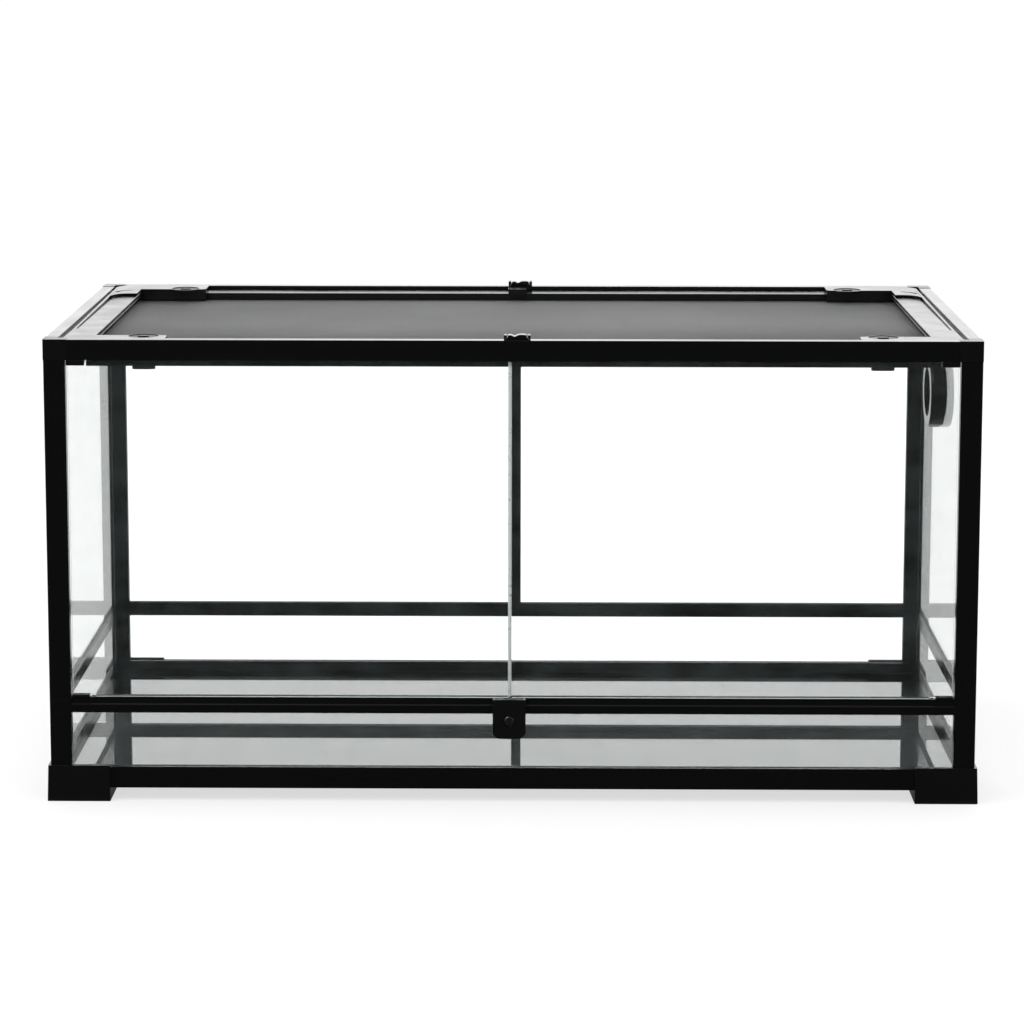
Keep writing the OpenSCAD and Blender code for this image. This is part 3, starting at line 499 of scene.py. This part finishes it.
overlap, gap, cutPast = 0.0001, 0.00005, 0.01   # of joined parts, between pieces, of a cutter


def coverBar(end, way):
    barIn, barOut, soft = cover["barIn"], cover["barOut"], cover["barSoft"]
    seatIn = barIn + cover["screenSeat"]
    outline = [
        (barOut, cover["barBottom"]), (barIn, cover["barBottom"]), (barIn, cover["screenLow"]),
        (seatIn, cover["screenLow"]), (seatIn, cover["screenTop"]), (barIn, cover["screenTop"]),
        (barIn, cover["barEdge"] - soft), (barIn + soft, cover["barEdge"]),
        (barOut - soft, cover["barTop"]), (barOut, cover["barTop"] - soft)]
    bar = loft([[(x, -y, z) for y, z in outline] for x in (-cover["barX"], cover["barX"])])
    left, right, inner = keeper["left"], keeper["right"], keeper["inner"]
    plate = block((left, keeper["outer"], cover["barEdge"] - keeper["root"]),
                  (right, inner, keeper["top"]))
    hook = block((left, -barIn - overlap, keeper["hookLow"]), (right, inner, cover["barEdge"]))
    bar = combine(bar, [plate, hook], "UNION")
    if way > 0:
        mirrored(bar, 1)
    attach(finished(bar, "coverBar" + end.title(), railX), "cover")
    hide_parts("cover_bar_" + end)


def sideMember():
    inner, strip, out = member["inner"], member["strip"], member["stripOut"]
    lip, lipTop, draft = member["lip"], member["lipTop"], member["draft"]
    softX, softZ = member["soft"]
    stripX, stripZ = member["stripSoft"]
    rings = []
    for y in member["stations"]:
        fallen = member["fall"] * (y + member["fallFrom"]) / member["fallLength"]
        top = max(member["bed"], member["top"] - fallen)
        along = min(1.0, (y + member["riseFrom"]) / member["riseLength"])
        high = top + max(0.0, member["rise"] * along)
        depth = member["groove"] if y > member["grooveFrom"] else member["grooveEnd"]
        groove = top - depth
        section = [
            (member["undercut"], cover["screenTop"]), (member["undercut"], member["lipLow"]),
            (lip, member["lipLow"]), (lip, lipTop - member["lipSoft"]), (inner, lipTop),
            (inner, top - softZ), (inner + softX, top), (member["outer"], top),
            (member["outer"] + draft, groove), (strip, groove), (strip + draft, high),
            (out - stripX, high), (out, high - stripZ), (out, member["rimTop"]),
            (cover["side"], member["rimTop"]), (cover["side"], cover["barBottom"]),
            (cover["sideIn"], cover["barBottom"]), (cover["sideIn"], cover["screenTop"])]
        rings.append([(x, y, z) for x, z in section])
    return loft(rings)


def armParts(arm):
    tip, corner, way = armShape["tip"], armShape["corner"], arm["way"]
    inner, barOut, top = arm["inner"], cover["barOut"], arm["top"]
    end = member["stripOut"] - armShape["setBack"]
    outline = [
        (tip + arm["chamfer"], barOut), (tip, barOut - arm["chamfer"]), (tip, inner + corner),
        (tip + corner, inner), (end, inner)]
    outline += arc((end - arm["round"], barOut - arm["round"]), arm["round"], 0, 90, 12)
    cap = prism([(x, way * y) for x, y in outline], cover["barTop"] + gap, top)
    filler = block((cover["barX"] + gap, way * barOut, cover["barBottom"]),
                   (cover["side"], way * inner, cover["barTop"] + overlap))
    body = block((tip, way * inner, cover["screenTop"]),
                 (cover["sideIn"], way * (cover["barIn"] - overlap), cover["barTop"] + overlap))
    seat = disc((knob["x"], way * knob["y"]), knob["seat"], top - knob["seatDepth"], top)
    return [cap, body, filler, seat]


def coverEnd(side, way):
    end = combine(sideMember(), armParts(arms["front"]) + armParts(arms["rear"]), "UNION")
    cuts = [block(cableHole["low"], cableHole["high"])]
    for arm in arms.values():
        centre, past = (knob["x"], arm["way"] * knob["y"]), arm["top"] + cutPast
        cuts.append(disc(centre, knob["pocket"], arm["top"] - knob["depth"] - overlap, past))
        cuts.append(disc(centre, knob["bore"], knob["boreLow"], past))
    end = combine(end, cuts, "DIFFERENCE")
    if way < 0:
        mirrored(end, 0)
    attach(finished(end, "coverEnd" + side.title(), coverBlack), "cover")
    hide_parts("cover_end_" + side)


def cableGate(side, way):
    # thin plate with a rounded front edge, a tongue in the member's groove and a finger groove
    low, high, rear, front = gate["low"], gate["high"], gate["rear"], gate["front"]
    plan = [(gate["inner"], rear), (gate["inner"], front)]
    plan += arc((gate["roundX"], front - gate["round"]), gate["round"], 90, 0)
    plan += [(gate["outer"], front - gate["round"]), (gate["outer"], rear)]
    plate = prism(plan, low, high)
    tongue = block(gate["tongue"], (gate["outer"], rear, low + overlap))
    plate = combine(plate, [tongue], "UNION")
    inner, outer = gate["grip"]
    begin, end = gate["gripTurn"]
    groove = arc(gate["gripCentre"], outer, begin, end) + arc(gate["gripCentre"], inner, end, begin)
    plate = combine(plate, [prism(groove, high - gate["gripDepth"], high + cutPast)], "DIFFERENCE")
    if way < 0:
        mirrored(plate, 0)
    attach(finished(plate, "cableGate" + side.title(), coverBlack), "cable_gate_" + side)
    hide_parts("cable_gate_" + side)


def turningKnob(end, side, way):
    # disc sunk into its seat, with a small grip; the cam is a piece of its own on the squared shaft
    arm, stemEnd = arms[end], knob["stemEnd"]
    x, y = way * knob["x"], arm["way"] * knob["y"]
    low, high = arm["top"] - knob["depth"], arm["top"] - knob["sunk"]
    camLow, camTop = knob["camLow"], knob["camTop"]
    top = disc((x, y), knob["radius"], low, high)
    grip = roundBar((x, y), *knob["grip"], low + knob["gripRoot"], high + knob["gripHeight"])
    shaft = disc((x, y), knob["shaft"], camTop + gap, low + knob["shaftRoot"])
    square, hole = knob["square"], knob["hole"]
    stem = block((x - square, y - square, camLow + stemEnd),
                 (x + square, y + square, camTop + stemEnd))
    top = combine(top, [grip, shaft, stem], "UNION")
    cam = roundBar((x, y), knob["camLength"] / 2, knob["camWidth"] / 2, camLow, camTop)
    bore = block((x - hole, y - hole, camLow - stemEnd), (x + hole, y + hole, camTop + stemEnd))
    cam = combine(cam, [bore], "DIFFERENCE")
    body = "knob_" + end + "_" + side
    for thing, part in ((top, "Disc"), (cam, "Cam")):
        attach(finished(thing, "knob" + end.title() + side.title() + part, knobBlack), body)
        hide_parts(body)


# humps is the profile of the latch's two humps, in mm from its middle and over the rail
latch = {
    "x": 0.0045, "rail": 0.4615, "outer": 0.2277, "inner": 0.2159, "foot": 0.0108,
    "body": 0.0098, "levels": (0.00065, 0.00205, 0.0032), "setBack": 0.001,
    "humps": (
        (-9.3, 2.9), (-9.3, 4.4), (-8.7, 4.95), (-7.2, 5.2), (-5.4, 5.0), (-4.3, 4.45),
        (-3.5, 3.9), (-2.7, 3.75), (-1.5, 4.1), (0.2, 5.0), (2.0, 5.5), (4.4, 5.6), (7.2, 5.5),
        (8.7, 5.15), (9.3, 4.5), (9.3, 2.9)),
}


def latchSlide(end, way):
    x, z, back = latch["x"], latch["rail"], latch["setBack"]
    outer, inner, foot, body = latch["outer"], latch["inner"], latch["foot"], latch["body"]
    near, middle, high = latch["levels"]
    base = block((x - foot, -outer, z + near), (x + foot, -inner, z + middle))
    step = block((x - body, -outer, z + middle - overlap), (x + body, -inner, z + high))
    profile = [(x + u / 1000, z + v / 1000) for u, v in latch["humps"]]
    humps = loft([[(px, y, pz) for px, pz in profile] for y in (back - outer, -back - inner)])
    slide = combine(base, [step, humps], "UNION")
    if way > 0:
        mirrored(slide, 1)
    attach(finished(slide, "latchSlide" + end.title(), glossyBlack), "latch_slide_" + end)
    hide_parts("latch_slide_" + end)


for end, way in (("front", -1), ("rear", 1)):
    latchSlide(end, way)
    coverBar(end, way)
for side, way in (("left", -1), ("right", 1)):
    coverEnd(side, way)
    cableGate(side, way)
    for end in arms:
        turningKnob(end, side, way)
print("cover ends, bars, gates, latches and knobs made")


# in reflections the studio is dark in front of the object and white behind it
light = {
    "sky": 1.0, "through": 1.45, "mirroredThrough": 1.3, "rearGloss": 1.8, "front": 0.05,
    "skyTurn": (-0.25, 0.75), "floorGlow": 0.66, "floorPaint": 0.36, "floorRear": 1.0,
    "floorFront": 0.03, "floorTurn": (-0.25, 0.25), "floorSize": 60, "floorDrop": 0.0002,
    "reflected": 0.5,
}
lamps = {
    "keyLamp": {"place": (-1.6, -1.4, 2.6), "size": (1.8, 1.2), "power": 18},
    "rearLamp": {"place": (0.8, 2.6, 1.8), "size": (3.0, 0.8), "power": 14},
}
lampAim = (0, 0, 0.3)
# focal length and shift are in pixels; focal length, place and turn come from a fit to the photo
photoView = {
    "picture": 1024, "sensor": 36.0, "focal": 3183.8, "shift": -150, "far": 100,
    "x": 0.02767, "front": -0.2285, "ahead": 3.06357, "height": 0.88158,
    "pitch": -8.1904, "yaw": 0.5281, "roll": 0.0584,
}
white = (1, 1, 1, 1)


def grey(value):
    return (value,) * 3 + (1,)


def emission(tree, strength):
    return addNode(tree, "ShaderNodeEmission", {"Strength": strength}).outputs[0]


def studioFloor():
    material, tree, place = startMaterial("studioFloor")
    path = addNode(tree, "ShaderNodeLightPath").outputs
    depth = addNode(tree, "ShaderNodeSeparateXYZ", {0: place["Object"]}).outputs["Y"]
    byPlace = spread(tree, depth, light["floorFront"], light["floorRear"], *light["floorTurn"])
    glow = emission(tree, maths(tree, "MULTIPLY", path["Is Camera Ray"], light["floorGlow"]))
    paint = addNode(tree, "ShaderNodeBsdfDiffuse", {"Color": grey(light["floorPaint"])}).outputs[0]
    seen = addNode(tree, "ShaderNodeAddShader", {0: glow, 1: paint}).outputs[0]
    behindGlass = emission(tree, light["through"])
    lit = mixShader(tree, path["Is Transmission Ray"], seen, behindGlass)
    inMirror = maths(tree, "GREATER_THAN", path["Glossy Depth"], light["reflected"])
    endMaterial(tree, mixShader(tree, inMirror, lit, emission(tree, byPlace)))
    bpy.ops.mesh.primitive_plane_add(size=light["floorSize"], location=(0, 0, -light["floorDrop"]))
    plane = bpy.context.object
    plane.name = "studioFloor"
    plane.data.materials.append(material)


def studioSky():
    world = bpy.data.worlds.new("studioSky")
    scene.world = world
    world.use_nodes = True
    tree = world.node_tree
    tree.nodes.clear()
    path = addNode(tree, "ShaderNodeLightPath").outputs
    place = addNode(tree, "ShaderNodeTexCoord").outputs["Generated"]
    way = addNode(tree, "ShaderNodeSeparateXYZ", {0: place}).outputs["Y"]
    aft = spread(tree, way, 0.0, 1.0, *light["skyTurn"])
    gloss, glossThrough = (
        spread(tree, aft, light["front"], light[rear], 0.0, 1.0)
        for rear in ("rearGloss", "mirroredThrough"))
    throughGlass = path["Is Transmission Ray"]
    straight = mixColour(tree, throughGlass, grey(light["sky"]), grey(light["through"]))
    reflected = mixColour(tree, throughGlass, gloss, glossThrough)
    inMirror = maths(tree, "GREATER_THAN", path["Glossy Depth"], light["reflected"])
    strength = mixColour(tree, inMirror, straight, reflected)
    strength = mixColour(tree, path["Is Camera Ray"], strength, white)
    back = addNode(tree, "ShaderNodeBackground", {"Color": white, "Strength": strength})
    addNode(tree, "ShaderNodeOutputWorld", {"Surface": back.outputs[0]})


def softLamp(name, look):
    data = bpy.data.lights.new(name, "AREA")
    data.shape = "RECTANGLE"
    data.size, data.size_y = look["size"]
    data.energy = look["power"]
    lamp = bpy.data.objects.new(name, data)
    scene.collection.objects.link(lamp)
    lamp.location = look["place"]
    aim = Vector(lampAim) - Vector(look["place"])
    lamp.rotation_euler = aim.to_track_quat("-Z", "Y").to_euler()
    lamp.visible_camera = False


def photoCamera():
    view = photoView
    data = bpy.data.cameras.new("photoCamera")
    data.sensor_width = view["sensor"]
    data.lens = view["focal"] / view["picture"] * view["sensor"]
    data.shift_y = view["shift"] / view["picture"]
    data.clip_end = view["far"]
    camera = bpy.data.objects.new("photoCamera", data)
    scene.collection.objects.link(camera)
    camera.location = (view["x"], view["front"] - view["ahead"], view["height"])
    pitch, yaw, roll = (math.radians(view[turn]) for turn in ("pitch", "yaw", "roll"))
    camera.rotation_mode = "XYZ"
    turn = Euler((0, 0, yaw)).to_matrix()
    for step in ((math.pi / 2 + pitch, 0, 0), (0, 0, roll)):
        turn = turn @ Euler(step).to_matrix()
    camera.rotation_euler = turn.to_euler()
    scene.camera = camera


studioFloor()
studioSky()
for name, look in lamps.items():
    softLamp(name, look)
photoCamera()
print("stage ready")
